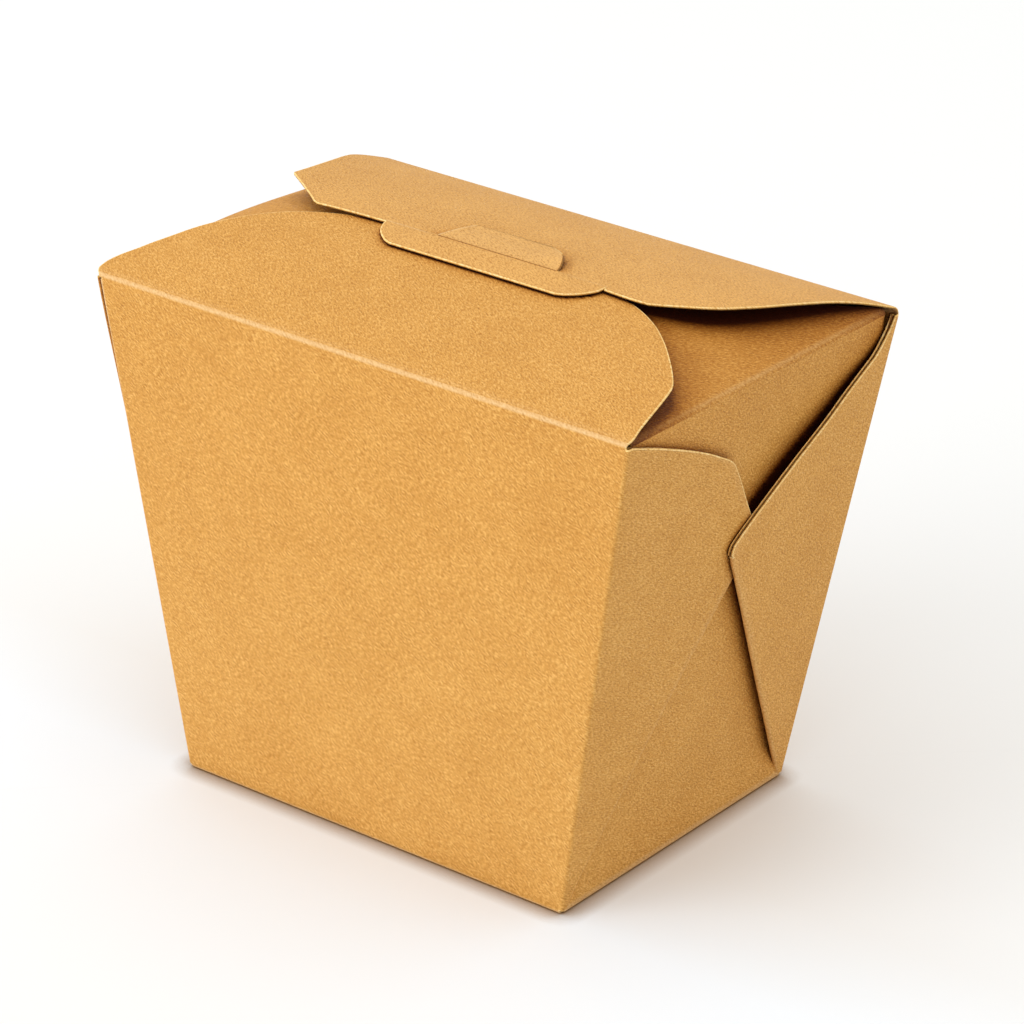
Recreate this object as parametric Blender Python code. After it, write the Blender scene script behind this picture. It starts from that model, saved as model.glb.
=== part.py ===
"""Shut noodle takeaway box, folded from one sheet of kraft board and locked by a tongue on top.

Sizes are worked in millimetres and turned to metres with MM. X runs along the wide face,
Y from front to back, Z up. The origin is the middle of the underside.
"""
import math

import bmesh
import bpy
from mathutils import Matrix, Vector

MM = 0.001

# Tapered body
BASE_LENGTH = 89.6
BASE_WIDTH = 70.5
SHOULDER_LENGTH = 121.0
SHOULDER_WIDTH = 85.7
SHOULDER_HEIGHT = 100.0
FOLD_RADIUS = 1.0
FOLD_STEPS = 3
SOLE_CHAMFER = 0.3
TOP_SET_DOWN = 0.3

# Board
BOARD = 0.5
DOUBLE_BOARD = 1.0
SINK = 0.25

# Top flaps: run from the crease, rise over that run and extra bulge half way
FRONT_RUN = 41.0
FRONT_RISE = 7.7
FRONT_BULGE = 1.5
BACK_RUN = 46.0
BACK_RISE = 8.5
BACK_BULGE = 1.9
ARCH_STEPS = 12
CREASE_RADIUS = 1.3
CREASE_ROOT = 3.2
CREASE_INSET = 0.15
MEET_Y = -3.0
LID_FILL_HALF = 34.0
LID_FILL_FLOOR = 97.0
LID_FILL_INSET = 2.0

# Lip that locks over the front flap: (y, height above the shoulder)
LIP_PATH = [(-6.0, 8.3), (-10.1, 7.75)]
TONGUE_END = 5.7
TONGUE_START = -3.0

# Minor flap: (across from the middle, height above the shoulder), ridge first
MINOR_RIDGE = [(60.3, -0.9), (59.6, 0.5), (55.0, 2.5), (49.0, 4.2), (42.0, 5.3), (32.0, 5.9)]
MINOR_FLOOR = -3.0

# Side panel hollow, measured square to the slanted side
HOLLOW_FRONT = 1.0
HOLLOW_BACK = 3.0
HOLLOW_TOP_FADE = 24.0
HOLLOW_BOTTOM_FADE = 14.0
HOLLOW_GRID = 14
CORNER_SLOT = (38.4, 40.6)
CORNER_SLOT_DEPTH = 2.6
CORNER_SLOT_DROP = 8.0
REAR_GUSSET_LIFT = 1.6

# Outlines are corner lists (across, along, corner radius)
FRONT_FLAP = [
    (-59.4, -44.5, 0), (59.4, -44.5, 0), (59.6, -42.2, 0), (59.9, -41.0, 0), (56.4, -24.6, 2.4),
    (49.0, -17.6, 20.0), (37.0, -7.6, 24.0), (25.0, -2.2, 0), (24.0, -1.85, 0),
    (-24.0, -1.85, 0), (-35.5, -4.2, 16.0), (-47.0, -11.4, 24.0), (-55.2, -24.0, 26.0),
    (-60.9, -38.2, 2.0), (-60.2, -41.4, 0), (-59.6, -42.2, 0),
]
BACK_FLAP = [
    (59.4, 44.5, 0), (-59.4, 44.5, 0), (-59.6, 42.2, 0), (-60.9, 36.0, 8.0), (-54.6, 6.2, 1.0),
    (-41.2, -4.4, 2.0), (-25.0, -4.2, 0), (-22.6, -7.0, 2.0), (-19.2, -10.0, 2.0),
    (18.0, -10.0, 6.0), (25.6, -6.0, 3.0), (27.0, -4.3, 0), (37.6, -4.0, 3.0),
    (47.0, 2.6, 8.0), (54.4, 19.0, 20.0), (57.2, 38.6, 4.0), (59.2, 42.2, 0),
]
TONGUE = [
    (-10.9, -4.0, 0), (16.0, -4.0, 0), (15.4, 0.6, 2.4), (9.0, 5.6, 4.0), (-11.4, 4.6, 1.4),
]

MINOR_FLAP = [
    (61.5, -41.4, 0), (61.5, 38.0, 0), (55.0, 31.0, 0), (46.0, 21.5, 0), (32.0, 12.0, 0),
    (32.0, -10.5, 0), (42.0, -17.5, 0), (50.0, -25.0, 0), (57.0, -35.0, 0),
]

# Outlines on the slanted side: (front to back, up the slope, corner radius)
PANEL_SHOWN = [
    (-40.6, 100.2, 0), (-33.0, 97.6, 0), (-22.1, 93.2, 12.0), (-5.7, 84.9, 1.5),
    (7.6, 64.8, 1.5), (-7.0, 44.0, 0), (-34.0, 0.4, 0), (34.0, 0.4, 0),
    (40.0, 97.0, 0), (39.6, 101.0, 0),
]
REAR_GUSSET = [
    (41.4, 99.9, 0), (34.7, 94.5, 10.0), (26.8, 86.4, 20.0), (16.6, 77.4, 20.0),
    (8.2, 72.0, 10.0), (-2.2, 65.2, 1.8), (33.8, 1.8, 0),
]

KRAFT = (0.72, 0.42, 0.13, 1.0)


def clear_scene():
    for thing in list(bpy.data.objects):
        bpy.data.objects.remove(thing, do_unlink=True)
    for group in list(bpy.data.collections):
        bpy.data.collections.remove(group)


def new_collection(name):
    group = bpy.data.collections.new(name)
    bpy.context.scene.collection.children.link(group)
    return group


def kraft_material():
    material = bpy.data.materials.new("kraft_board")
    material.use_nodes = True
    shader = material.node_tree.nodes["Principled BSDF"]
    shader.inputs["Base Color"].default_value = KRAFT
    shader.inputs["Roughness"].default_value = 0.75
    return material


def mesh_object(name, bm, group):
    bmesh.ops.recalc_face_normals(bm, faces=bm.faces)
    if bm.calc_volume(signed=True) < 0:
        bmesh.ops.reverse_faces(bm, faces=bm.faces)
    mesh = bpy.data.meshes.new(name)
    bm.to_mesh(mesh)
    bm.free()
    thing = bpy.data.objects.new(name, mesh)
    group.objects.link(thing)
    return thing


def tool_object(name, bm, group):
    thing = mesh_object(name, bm, group)
    thing.hide_render = True
    thing.display_type = "WIRE"
    return thing


def combine(target, other, how):
    step = target.modifiers.new(how.lower() + "_" + other.name, "BOOLEAN")
    step.operation = how
    step.solver = "EXACT"
    step.object = other


def rounded(corners, steps=5):
    """Outline points with each corner swapped for an arc of its own radius."""
    points = []
    count = len(corners)
    for i, (x, y, radius) in enumerate(corners):
        here = Vector((x, y))
        before = Vector(corners[i - 1][:2]) - here
        after = Vector(corners[(i + 1) % count][:2]) - here
        half = before.angle(after) / 2
        reach = radius / math.tan(half) if radius else 0
        reach = min(reach, before.length * 0.48, after.length * 0.48)
        if reach < 0.05:
            points.append(here)
            continue
        start = here + before.normalized() * reach
        end = here + after.normalized() * reach
        for k in range(steps + 1):
            t = k / steps
            points.append(start * (1 - t) ** 2 + here * 2 * t * (1 - t) + end * t ** 2)
    return points


def extruded(points, low, high, place):
    """Closed bar: a flat outline pushed from low to high, each corner set in space by place."""
    bm = bmesh.new()
    verts = [bm.verts.new(place(p, low)) for p in points]
    face = bm.faces.new(verts)
    pushed = bmesh.ops.extrude_face_region(bm, geom=[face])
    moved = [v for v in pushed["geom"] if isinstance(v, bmesh.types.BMVert)]
    for vert, p in zip(verts, points):
        twin = min(moved, key=lambda v: (v.co - vert.co).length)
        moved.remove(twin)
        twin.co = place(p, high)
    return bm


def place_plan(p, height):
    return Vector((p[0], p[1], height)) * MM


def place_section(p, across):
    return Vector((across, p[0], p[1])) * MM


def place_end(p, along):
    return Vector((p[0], along, p[1])) * MM


def side_frame():
    """Matrix from (front to back, up the slope, outward) on the right side into space."""
    lean = math.atan2((SHOULDER_LENGTH - BASE_LENGTH) / 2, SHOULDER_HEIGHT)
    frame = Matrix.Identity(4)
    frame.col[0] = (0, 1, 0, 0)
    frame.col[1] = (math.sin(lean), 0, math.cos(lean), 0)
    frame.col[2] = (math.cos(lean), 0, -math.sin(lean), 0)
    frame.col[3] = (BASE_LENGTH / 2 * MM, 0, 0, 1)
    return frame


def slope_length():
    return math.hypot((SHOULDER_LENGTH - BASE_LENGTH) / 2, SHOULDER_HEIGHT)


def to_side(bm, hand):
    """Put a shape drawn on the side plane on the right (hand 1) or the left (hand -1)."""
    bm.transform(side_frame())
    bm.transform(Matrix.Scale(hand, 4, Vector((1, 0, 0))))


def arch(run, rise, bulge, t):
    """Height of a flap at distance t from its crease: a straight climb plus a shallow bow."""
    part = t / run
    return rise * part + 4 * bulge * part * (1 - part)


def panel_y(height):
    return (BASE_WIDTH + (SHOULDER_WIDTH - BASE_WIDTH) * height / SHOULDER_HEIGHT) / 2


def crease_path(side):
    """Outer line of a flap from just inside its panel, round the crease; side is -1 front, 1 back."""
    low = SHOULDER_HEIGHT - CREASE_ROOT
    run, rise, bulge = (FRONT_RUN, FRONT_RISE, FRONT_BULGE)
    if side > 0:
        run, rise, bulge = (BACK_RUN, BACK_RISE, BACK_BULGE)
    start = (side * (panel_y(low) - CREASE_INSET), low, 0)
    corner = (side * (panel_y(SHOULDER_HEIGHT) + 0.03), SHOULDER_HEIGHT, CREASE_RADIUS)
    first = run / ARCH_STEPS
    next_point = (side * (SHOULDER_WIDTH / 2 - first),
                  SHOULDER_HEIGHT + arch(run, rise, bulge, first), 0)
    bend = rounded([start, corner, next_point])
    path = [tuple(p) for p in bend]
    for k in range(2, ARCH_STEPS + 1):
        t = run * k / ARCH_STEPS
        path.append((side * (SHOULDER_WIDTH / 2 - t),
                     SHOULDER_HEIGHT + arch(run, rise, bulge, t)))
    return path


def band(path, thickness, inward):
    """Closed section: a line and the same line moved by the thickness to its inner side."""
    inner = []
    last = len(path) - 1
    for i, point in enumerate(path):
        ahead = Vector(path[min(i + 1, last)]) - Vector(path[max(i - 1, 0)])
        square = Vector((ahead.y, -ahead.x)).normalized() * inward
        inner.append(tuple(Vector(point) + square * thickness))
    return path + inner[::-1]


def sheet(name, section, outline, tools):
    """A bent sheet: a section run along the box, kept only inside its plan outline."""
    reach = SHOULDER_LENGTH / 2 + 4
    bar = tool_object(name, extruded(section, -reach, reach, place_section), tools)
    trim = extruded(rounded(outline), SHOULDER_HEIGHT - 8, SHOULDER_HEIGHT + 20, place_plan)
    combine(bar, tool_object(name + "_outline", trim, tools), "INTERSECT")
    return bar


def on_floor(edge):
    return all(abs(v.co.z) < 1e-6 for v in edge.verts)


def body(group):
    """Tapered block with rounded folds and a small chamfer round the sole."""
    bm = bmesh.new()
    bmesh.ops.create_cube(bm, size=1.0)
    top = SHOULDER_HEIGHT - TOP_SET_DOWN
    length = BASE_LENGTH + (SHOULDER_LENGTH - BASE_LENGTH) * top / SHOULDER_HEIGHT
    for vert in bm.verts:
        upper = vert.co.z > 0
        vert.co.x *= (length if upper else BASE_LENGTH) * MM
        vert.co.y *= 2 * panel_y(top if upper else 0) * MM
        vert.co.z = (top if upper else 0) * MM
    folds = [e for e in bm.edges if not on_floor(e)]
    bmesh.ops.bevel(bm, geom=folds, offset=FOLD_RADIUS * MM, segments=FOLD_STEPS,
                    profile=0.5, affect="EDGES", clamp_overlap=True)
    sole = [e for e in bm.edges if on_floor(e)]
    bmesh.ops.bevel(bm, geom=sole, offset=SOLE_CHAMFER * MM, segments=1,
                    affect="EDGES", clamp_overlap=True)
    return mesh_object("carton", bm, group)


def hollow_depth(along, up):
    """How far the side panel lies inside the slanted side: nothing at ridge and foot."""
    total = slope_length()
    back = (along + SHOULDER_WIDTH / 2) / SHOULDER_WIDTH
    deep = HOLLOW_FRONT + (HOLLOW_BACK - HOLLOW_FRONT) * min(max(back, 0), 1)
    top = min(max((total - up) / HOLLOW_TOP_FADE, 0), 1)
    foot = min(max(up / HOLLOW_BOTTOM_FADE, 0), 1)
    return deep * math.sin(top * math.pi / 2) * math.sin(foot * math.pi / 2)


def panel_hollow(hand, tools):
    """Cutter that leaves the side panel lying behind the two corner gussets."""
    total = slope_length()
    bm = bmesh.new()
    bmesh.ops.create_grid(bm, x_segments=HOLLOW_GRID, y_segments=HOLLOW_GRID, size=0.5)
    for vert in bm.verts:
        along = vert.co.x * (SHOULDER_WIDTH + 4)
        up = (vert.co.y + 0.5) * (total + 2)
        vert.co = Vector((along, up, -hollow_depth(along, up))) * MM
    floor = bm.faces[:]
    outer = bmesh.ops.extrude_face_region(bm, geom=floor)
    for item in outer["geom"]:
        if isinstance(item, bmesh.types.BMVert):
            item.co.z = 6 * MM
    to_side(bm, hand)
    name = "panel_hollow_right" if hand > 0 else "panel_hollow_left"
    slab = tool_object(name, bm, tools)
    trim = extruded(rounded(PANEL_SHOWN), -8, 5, place_plan)
    to_side(trim, hand)
    combine(slab, tool_object(name + "_outline", trim, tools), "INTERSECT")
    return slab


def corner_slot(hand, tools):
    """Cutter for the dark slot between the end of the side ridge and the rear gusset."""
    near, far = CORNER_SLOT
    total = slope_length()
    outline = [(near, total - CORNER_SLOT_DROP), (far, total - CORNER_SLOT_DROP),
               (far, total + 3), (near, total + 3)]
    bm = extruded(outline, -CORNER_SLOT_DEPTH, 4, place_plan)
    to_side(bm, hand)
    name = "corner_slot_right" if hand > 0 else "corner_slot_left"
    return tool_object(name, bm, tools)


def rear_gusset(hand, tools):
    """Folded corner web: two boards thick, hinged on the rear fold and standing a little off."""
    bm = extruded(rounded(REAR_GUSSET), -DOUBLE_BOARD, 0, place_plan)
    foot = Vector((BASE_WIDTH / 2, 0, 0)) * MM
    head = Vector((SHOULDER_WIDTH / 2, slope_length(), 0)) * MM
    hinge = Matrix.Translation(foot)
    turn = Matrix.Rotation(math.radians(-REAR_GUSSET_LIFT), 4, foot - head)
    bm.transform(hinge @ turn @ hinge.inverted())
    to_side(bm, hand)
    name = "rear_gusset_right" if hand > 0 else "rear_gusset_left"
    return tool_object(name, bm, tools)


def minor_flap(hand, tools):
    """Short flap bent in at the side ridge and pushed up under the two long flaps."""
    ridge = rounded([(x, SHOULDER_HEIGHT + height, 2.5) for x, height in MINOR_RIDGE])
    floor = SHOULDER_HEIGHT + MINOR_FLOOR
    points = list(ridge) + [Vector((ridge[-1].x, floor)), Vector((ridge[0].x - 1.5, floor))]
    bm = extruded(points, -SHOULDER_WIDTH / 2, SHOULDER_WIDTH / 2, place_end)
    bm.transform(Matrix.Scale(hand, 4, Vector((1, 0, 0))))
    name = "minor_flap_right" if hand > 0 else "minor_flap_left"
    bar = tool_object(name, bm, tools)
    trim = extruded(rounded(MINOR_FLAP), SHOULDER_HEIGHT - 8, SHOULDER_HEIGHT + 8, place_plan)
    trim.transform(Matrix.Scale(hand, 4, Vector((1, 0, 0))))
    combine(bar, tool_object(name + "_outline", trim, tools), "INTERSECT")
    return bar


def front_flap(tools):
    section = band(crease_path(-1), BOARD, 1)
    return sheet("front_flap", section, FRONT_FLAP, tools)


def back_flap(tools):
    lip = [(y, SHOULDER_HEIGHT + height) for y, height in LIP_PATH]
    section = band(crease_path(1) + lip, BOARD, -1)
    return sheet("back_flap_and_lip", section, BACK_FLAP, tools)


def back_height(y):
    """Height of the back flap's top face at a distance y from the middle."""
    return SHOULDER_HEIGHT + arch(BACK_RUN, BACK_RISE, BACK_BULGE, SHOULDER_WIDTH / 2 - y)


def tongue(tools):
    """Tongue of the front flap, up through the slit and lying back on the back flap."""
    steps = 6
    path = [(TONGUE_START, back_height(TONGUE_START) - SINK)]
    for k in range(steps + 1):
        y = TONGUE_START + 0.8 + (TONGUE_END + 1 - TONGUE_START) * k / steps
        path.append((y, back_height(y) + BOARD))
    section = band(path, BOARD + SINK / 2, 1)
    return sheet("tongue", section, TONGUE, tools)


def lid_fill(tools):
    """Solid under the two flaps, well inside their open ends."""
    front = SHOULDER_WIDTH / 2 - LID_FILL_INSET
    steps = 10
    points = [(-front, LID_FILL_FLOOR)]
    for k in range(steps + 1):
        y = -front + (MEET_Y + front) * k / steps
        height = arch(FRONT_RUN, FRONT_RISE, FRONT_BULGE, y + SHOULDER_WIDTH / 2)
        points.append((y, SHOULDER_HEIGHT + height - SINK))
    for k in range(steps + 1):
        y = MEET_Y + (front - MEET_Y) * k / steps
        points.append((y, back_height(y) - SINK))
    points.append((front, LID_FILL_FLOOR))
    bm = extruded(points, -LID_FILL_HALF, LID_FILL_HALF, place_section)
    return tool_object("lid_fill", bm, tools)


def build():
    clear_scene()
    group = new_collection("noodle_box")
    tools = new_collection("noodle_box_cutters")
    carton = body(group)
    for hand in (1, -1):
        combine(carton, panel_hollow(hand, tools), "DIFFERENCE")
        combine(carton, corner_slot(hand, tools), "DIFFERENCE")
    for hand in (1, -1):
        combine(carton, rear_gusset(hand, tools), "UNION")
        combine(carton, minor_flap(hand, tools), "UNION")
    for made in (lid_fill, front_flap, back_flap, tongue):
        combine(carton, made(tools), "UNION")
    carton.data.materials.append(kraft_material())


build()
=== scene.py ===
# Noodle takeaway box: one cut and creased sheet of kraft board, folded shut.
# Lengths are in millimetres until a mesh is made, x along the box, y to the back, z up.
import math

import bpy
import numpy as np
from mathutils import Matrix, Vector


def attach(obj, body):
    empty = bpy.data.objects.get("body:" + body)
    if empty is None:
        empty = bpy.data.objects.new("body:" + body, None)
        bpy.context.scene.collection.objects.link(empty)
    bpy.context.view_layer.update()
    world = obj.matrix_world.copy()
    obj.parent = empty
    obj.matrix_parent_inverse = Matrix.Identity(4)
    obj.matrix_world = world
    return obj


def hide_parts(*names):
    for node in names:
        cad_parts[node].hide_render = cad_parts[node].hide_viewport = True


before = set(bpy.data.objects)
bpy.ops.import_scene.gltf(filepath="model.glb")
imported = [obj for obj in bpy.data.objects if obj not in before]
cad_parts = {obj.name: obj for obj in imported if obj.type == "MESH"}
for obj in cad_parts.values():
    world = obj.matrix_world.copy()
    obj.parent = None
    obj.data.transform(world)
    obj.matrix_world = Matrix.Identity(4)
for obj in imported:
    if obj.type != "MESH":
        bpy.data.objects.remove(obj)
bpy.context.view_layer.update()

mm = 0.001
cartonNode = "carton"

# the box that the board is folded round, and the board itself
box = {
    "footHalf": (44.9, 35.85),      # half length and half width at the floor
    "shoulderHalf": (60.5, 42.85),  # the same at the shoulder
    "shoulder": 100.0,              # height of the long top creases
    "board": 0.45,                  # thickness of one layer
    "cornerRadius": 0.7,            # upright folds at the four corners
    "creaseRadius": 0.95,           # the long fold at the foot of the front flap
    "backCreaseRadius": 2.0,        # the same at the back
    "footRadius": 0.8,              # folds round the base
    "rollRadius": 0.55,             # the tight fold at a web's sloping side
}


# ---------------------------------------------------------------- curves and rows
def smooth(value, low, high):
    # 0 below low, 1 above high, an S between them: 3t^2 - 2t^3
    t = np.clip((np.asarray(value, float) - low) / (high - low), 0.0, 1.0)
    return t * t * (3.0 - 2.0 * t)


def curveThrough(points, at):
    # cubic Hermite through (a, b) points, read at values of a; the tangents come from the neighbours
    a, b = np.array(points, float).T
    at = np.asarray(at, float)
    tangent = np.gradient(b, a)
    i = np.clip(np.searchsorted(a, at) - 1, 0, len(a) - 2)
    step = a[i + 1] - a[i]
    t = np.clip((at - a[i]) / step, 0.0, 1.0)
    return ((2 * t**3 - 3 * t**2 + 1) * b[i] + (t**3 - 2 * t**2 + t) * step * tangent[i]
            + (3 * t**2 - 2 * t**3) * b[i + 1] + (t**3 - t**2) * step * tangent[i + 1])


def outlineAt(runs, at):
    # an outline of several smooth runs that meet at corners
    at = np.asarray(at, float)
    value = curveThrough(runs[0], at)
    for run in runs[1:]:
        value = np.where(at > run[0][0], curveThrough(run, at), value)
    return value


def bend(corner, into, out, radius, count):
    # the arc that joins two straight runs: centre + radius (sin a, cos a) in the frame of the first run
    corner, into, out = (np.array(v, float) for v in (corner, into, out))
    into, out = into / np.linalg.norm(into), out / np.linalg.norm(out)
    turn = math.acos(float(into @ out))
    side = out - into * float(into @ out)
    side = side / np.linalg.norm(side)
    start = corner - into * radius * math.tan(turn / 2)
    a = np.linspace(0.0, turn, count)[:, None]
    return start + radius * (np.sin(a) * into + (1 - np.cos(a)) * side)


def steps(*spans):
    # values that run from the first span's start to the last one's end: (start, end, how many)
    parts = [np.linspace(a, b, n + 1)[:-1] for a, b, n in spans]
    return np.append(np.concatenate(parts), spans[-1][1])


def halfLength(z):
    # half length of the box at height z, out to the side planes
    low, high = box["footHalf"][0], box["shoulderHalf"][0]
    return low + (high - low) * np.asarray(z, float) / box["shoulder"]


def halfWidth(z):
    # half width of the box at height z, out to the long panels
    low, high = box["footHalf"][1], box["shoulderHalf"][1]
    return low + (high - low) * np.asarray(z, float) / box["shoulder"]


def arch(run, rise, bulge, t):
    # height of a lid flap above the shoulder at distance t from its crease: a straight rise plus a parabola
    s = np.asarray(t, float) / run
    return rise * s + 4.0 * bulge * s * (1.0 - s)


# ---------------------------------------------------------------- board from a grid
# how a cut side is shaped: depth and swell of its rings as shares of the thickness, how much painted shade each ring
# gets (a painted dark line under the edge), and the width of its rim on the face, where the pale cut side stands partly
# as a painted highlight
cutSide = {"depth": (0.06, 0.30, 0.62, 0.90), "swell": (0.06, 0.17, 0.17, 0.06), "dark": (0.0, 0.0, 0.6, 1.0), "rim": 0.14}


def faceNormals(points, shown):
    # cross product of each face's two diagonals, zero where no board is
    across = points[1:, 1:] - points[:-1, :-1]
    other = points[:-1, 1:] - points[1:, :-1]
    normal = np.cross(across, other)
    return normal * shown[..., None]


def pointNormals(points, shown):
    # sum of the normals of the shown faces round each point, made one long
    face = faceNormals(points, shown)
    total = np.zeros_like(points)
    total[:-1, :-1] += face
    total[1:, :-1] += face
    total[:-1, 1:] += face
    total[1:, 1:] += face
    size = np.linalg.norm(total, axis=2, keepdims=True)
    return total / np.maximum(size, 1e-12)


def flatMap(points, middle):
    # where each point lies on the flat sheet: along its row from the middle column, and down the middle column
    across = np.linalg.norm(np.diff(points, axis=1), axis=2)
    u = np.concatenate([np.zeros((len(points), 1)), np.cumsum(across, axis=1)], axis=1)
    u = u - u[:, middle][:, None]
    down = np.linalg.norm(np.diff(points[:, middle], axis=0), axis=1)
    v = np.concatenate([[0.0], np.cumsum(down)])[:, None] + np.zeros_like(u)
    return np.stack([u, v], axis=2)



def makeBoard(name, points, shown, marks, materials, middle=0):
    # A sheet with real thickness: the grid is the outer face, a copy moved in along the normals is the inner
    # face, and every open side gets a narrow rim and a strip that swells a little, as a cut edge does.
    thickness = box["board"]
    rows, cols = points.shape[:2]
    shown = shown & (np.linalg.norm(faceNormals(points, shown), axis=2) > 1e-9)
    normal = pointNormals(points, shown)
    index = np.arange(rows * cols).reshape(rows, cols)
    quad = np.stack([index[:-1, :-1], index[1:, :-1], index[1:, 1:], index[:-1, 1:]], axis=2)[shown]
    count = rows * cols

    # sides of the shown faces that no other shown face shares
    sides = np.concatenate([quad[:, [k, (k + 1) % 4]] for k in range(4)])
    forward = sides[:, 0].astype(np.int64) * count + sides[:, 1]
    backward = sides[:, 1].astype(np.int64) * count + sides[:, 0]
    free = sides[~np.isin(forward, backward)]

    # the way out of the sheet at each free point, from the sides that meet there
    p, n = points.reshape(-1, 3).copy(), normal.reshape(-1, 3)
    along = p[free[:, 1]] - p[free[:, 0]]
    along = along / np.maximum(np.linalg.norm(along, axis=1, keepdims=True), 1e-12)
    outward = np.cross(along, n[free[:, 0]])
    way = np.zeros_like(p)
    np.add.at(way, free[:, 0], outward)
    np.add.at(way, free[:, 1], outward)
    way = way / np.maximum(np.linalg.norm(way, axis=1, keepdims=True), 1e-12)

    rim = np.unique(free)
    place = np.full(count, -1)
    place[rim] = np.arange(len(rim))
    depth = np.array(cutSide["depth"]) * thickness
    swell = np.array(cutSide["swell"]) * thickness
    rings = [p[rim] - n[rim] * d + way[rim] * s for d, s in zip(depth, swell)]
    # the rim: the face stops short of a free edge and the pale cut side covers the strip, partly a painted highlight
    outer = p.copy()
    outer[rim] -= way[rim] * cutSide["rim"]
    inner = p - n * thickness

    vertices = np.concatenate([outer, inner] + rings) * mm
    ring = [2 * count + k * len(rim) for k in range(len(rings))]
    levels = [free] + [place[free] + start for start in ring] + [free + count]
    strips = [np.stack([upper[:, 1], upper[:, 0], lower[:, 0], lower[:, 1]], axis=1)
              for upper, lower in zip(levels[:-1], levels[1:])]
    faces = np.concatenate([quad, quad[:, ::-1] + count] + strips)
    # finishes: 0 outer face, 1 cut side, 2 inner face
    finish = np.repeat([0, 2, 1], [len(quad), len(quad), len(strips) * len(free)])

    flat = flatMap(points, middle).reshape(-1, 2)
    flatAll = np.concatenate([flat, flat] + [flat[rim] + np.array([0.0, d]) for d in depth]) * mm
    marks = {key: m.reshape(-1) for key, m in marks.items()}
    # the cut side's lower rings get painted shade, a dark line under each free edge
    marks = {key: np.concatenate([m, m] + [m[rim] + (dark if key == "shade" else 0.0) for dark in cutSide["dark"]])
             for key, m in marks.items()}

    used = np.unique(faces)
    fresh = np.full(len(vertices), -1)
    fresh[used] = np.arange(len(used))
    faces, vertices, flatAll = fresh[faces], vertices[used], flatAll[used]

    mesh = bpy.data.meshes.new(name)
    mesh.from_pydata(vertices.tolist(), [], faces.tolist())
    for material in materials:
        mesh.materials.append(material)
    mesh.polygons.foreach_set("material_index", finish.astype(np.int32))
    mesh.polygons.foreach_set("use_smooth", np.ones(len(faces), bool))
    corner = np.empty(len(mesh.loops), np.int32)
    mesh.loops.foreach_get("vertex_index", corner)
    layer = mesh.uv_layers.new(name="flat")
    layer.data.foreach_set("uv", flatAll[corner].astype(np.float32).ravel())
    for key, mark in marks.items():
        mesh.attributes.new(key, "FLOAT", "POINT").data.foreach_set("value", mark[used].astype(np.float32))
    markCutSides(mesh, finish)
    mesh.validate()
    obj = bpy.data.objects.new(name, mesh)
    bpy.context.scene.collection.objects.link(obj)
    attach(obj, "root")
    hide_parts(cartonNode)
    return obj


def markCutSides(mesh, finish):
    # an edge is sharp where a printed face meets a cut side
    edgeOf = np.empty(len(mesh.loops), np.int32)
    mesh.loops.foreach_get("edge_index", edgeOf)
    kind = np.repeat(finish, 4)
    low, high = np.full(len(mesh.edges), 9), np.full(len(mesh.edges), -1)
    np.minimum.at(low, edgeOf, kind)
    np.maximum.at(high, edgeOf, kind)
    sharp = mesh.attributes.new("sharp_edge", "BOOLEAN", "EDGE")
    sharp.data.foreach_set("value", (low != high))


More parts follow.
